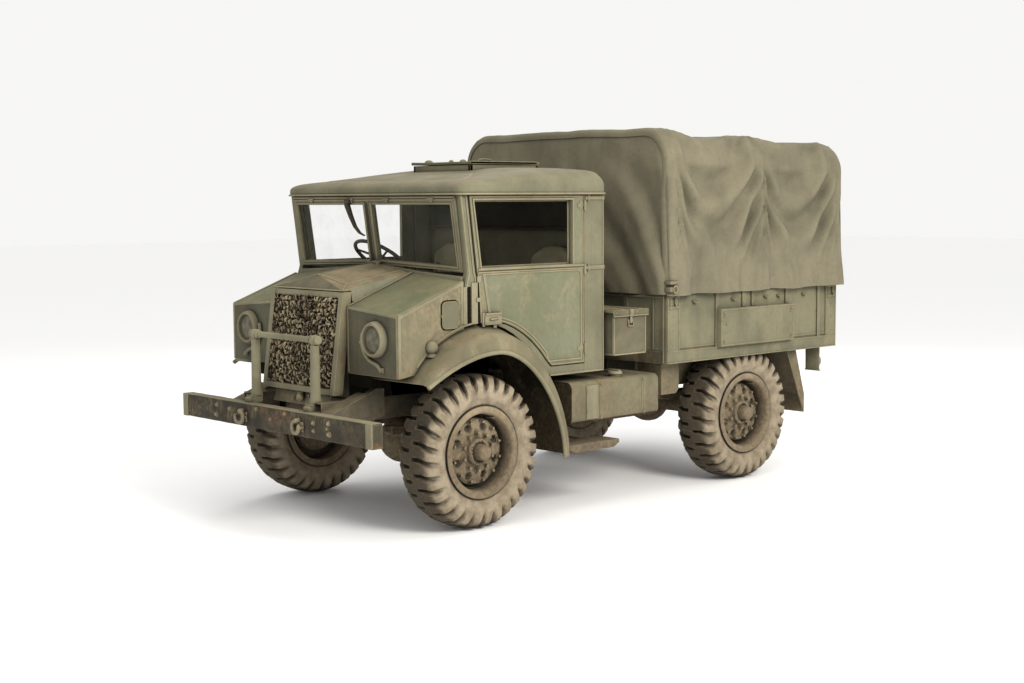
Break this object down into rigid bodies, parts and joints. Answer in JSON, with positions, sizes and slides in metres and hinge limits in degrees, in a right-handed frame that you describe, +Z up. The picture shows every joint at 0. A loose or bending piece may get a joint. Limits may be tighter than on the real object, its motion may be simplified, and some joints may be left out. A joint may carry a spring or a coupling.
{
  "type": "military cargo truck",
  "caption": "Forward-cab cargo truck with doors, hood, roof hatch, steered front wheels, drop tailgate, toolboxes and a canvas tilt on hoops over a steel load bed.",
  "frame": {"origin": "on the ground at the middle of the truck's length and width", "axes": "+Z up, -Y is the front of the truck, +X is its left side"},
  "size_m": [2.16, 4.5698, 2.54],
  "materials": {
    "body_paint": "dusty matt olive paint, worn at edges",
    "chassis_paint": "dirty matt paint",
    "axle_metal": "muddy",
    "engine_metal": "oily",
    "exhaust_metal": "rusty",
    "floor_paint": "worn matt paint",
    "glass": "clear",
    "seat_cloth": "worn canvas",
    "grille_metal": "coarse woven mesh, dusty",
    "lamp_metal": "satin",
    "canvas": "weathered canvas",
    "steering_wheel": "worn",
    "tyre": "dusty",
    "wheel_paint": "muddy"
  },
  "bodies": {
    "chassis": {"frame_rails": "chassis_paint", "cross_members": "chassis_paint", "frame_brackets": "chassis_paint", "front_bumper": "body_paint", "brush_guard": "body_paint", "leaf_springs": "chassis_paint", "front_axle": "axle_metal", "rear_axle": "axle_metal", "engine_block": "engine_metal", "gearbox": "engine_metal", "propeller_shafts": "chassis_paint", "exhaust": "exhaust_metal", "fuel_tanks": "body_paint", "splash_plates": "body_paint", "cab_floor": "floor_paint", "steering_column": "chassis_paint", "cab_shell": "body_paint", "cab_roof": "body_paint", "windscreen_frame": "body_paint", "windscreen_glass": "glass", "seats": "seat_cloth", "nose_panels": "body_paint", "grille": "grille_metal", "front_fenders": "body_paint", "lamps": "lamp_metal", "bed_floor": "floor_paint", "bed_sides": "body_paint", "tilt_bows": "chassis_paint", "canvas_tilt": "canvas", "toolboxes": "body_paint"},
    "hood": {"hood": "body_paint"},
    "roof_hatch_lid": {"roof_hatch_lid": "body_paint"},
    "toolbox_lid_left": {"toolbox_lid_left": "body_paint"},
    "toolbox_lid_right": {"toolbox_lid_right": "body_paint"},
    "left_door": {"left_door": "body_paint"},
    "right_door": {"right_door": "body_paint"},
    "tailgate": {"tailgate": "body_paint"},
    "steering_wheel": {"steering_wheel": "steering_wheel"},
    "knuckle_left": {"knuckle_left": "axle_metal"},
    "knuckle_right": {"knuckle_right": "axle_metal"},
    "tie_rod": {"tie_rod": "axle_metal"},
    "front_left_wheel": {"tyre_front_left": "tyre", "wheel_front_left": "wheel_paint"},
    "front_right_wheel": {"tyre_front_right": "tyre", "wheel_front_right": "wheel_paint"},
    "rear_left_wheel": {"tyre_rear_left": "tyre", "wheel_rear_left": "wheel_paint"},
    "rear_right_wheel": {"tyre_rear_right": "tyre", "wheel_rear_right": "wheel_paint"}
  },
  "joints": [
    {"name": "steer_left", "type": "hinge", "parent": "chassis", "child": "knuckle_left", "pos_m": [0.7, -1.33, 0.486], "axis": [0, 0, 1], "range_deg": [-28, 28]},
    {"name": "steer_right", "type": "hinge", "parent": "chassis", "child": "knuckle_right", "pos_m": [-0.7, -1.33, 0.486], "axis": [0, 0, 1], "range_deg": [-28, 28]},
    {"name": "tie_rod_pivot", "type": "hinge", "parent": "knuckle_left", "child": "tie_rod", "pos_m": [0.7, -1.14, 0.386], "axis": [0, 0, 1], "range_deg": [-28, 28]},
    {"name": "steering_wheel_turn", "type": "hinge", "parent": "chassis", "child": "steering_wheel", "pos_m": [-0.44, -1.012, 1.65], "axis": [0, 0.6018, 0.7986], "range_deg": [-448, 448]},
    {"name": "front_left_spin", "type": "hinge", "parent": "knuckle_left", "child": "front_left_wheel", "pos_m": [0.85, -1.33, 0.486], "axis": [1, 0, 0], "continuous": true},
    {"name": "front_right_spin", "type": "hinge", "parent": "knuckle_right", "child": "front_right_wheel", "pos_m": [-0.85, -1.33, 0.486], "axis": [1, 0, 0], "continuous": true},
    {"name": "rear_left_spin", "type": "hinge", "parent": "chassis", "child": "rear_left_wheel", "pos_m": [0.85, 1.235, 0.486], "axis": [1, 0, 0], "continuous": true},
    {"name": "rear_right_spin", "type": "hinge", "parent": "chassis", "child": "rear_right_wheel", "pos_m": [-0.85, 1.235, 0.486], "axis": [1, 0, 0], "continuous": true},
    {"name": "left_door_hinge", "type": "hinge", "parent": "chassis", "child": "left_door", "pos_m": [0.912, -0.369, 1.5], "axis": [0, 0, 1], "range_deg": [0, 78]},
    {"name": "right_door_hinge", "type": "hinge", "parent": "chassis", "child": "right_door", "pos_m": [-0.912, -0.369, 1.5], "axis": [0, 0, -1], "range_deg": [0, 78]},
    {"name": "hood_hinge", "type": "hinge", "parent": "chassis", "child": "hood", "pos_m": [0, -1.41, 1.65], "axis": [-1, 0, 0], "range_deg": [0, 50]},
    {"name": "roof_hatch_hinge", "type": "hinge", "parent": "chassis", "child": "roof_hatch_lid", "pos_m": [0, -0.202, 2.297], "axis": [-1, 0, 0], "range_deg": [0, 95]},
    {"name": "toolbox_lid_left_hinge", "type": "hinge", "parent": "chassis", "child": "toolbox_lid_left", "pos_m": [0.462, 0.0125, 1.298], "axis": [0, -1, 0], "range_deg": [0, 100]},
    {"name": "toolbox_lid_right_hinge", "type": "hinge", "parent": "chassis", "child": "toolbox_lid_right", "pos_m": [-0.462, 0.0125, 1.298], "axis": [0, 1, 0], "range_deg": [0, 100]},
    {"name": "tailgate_hinge", "type": "hinge", "parent": "chassis", "child": "tailgate", "pos_m": [0, 2.257, 1.004], "axis": [-1, 0, 0], "range_deg": [0, 90]}
  ],
  "couplings": [
    {"joint": "steer_right", "follows": "steer_left", "ratio": 1},
    {"joint": "tie_rod_pivot", "follows": "steer_left", "ratio": -1},
    {"joint": "steering_wheel_turn", "follows": "steer_left", "ratio": 16}
  ]
}
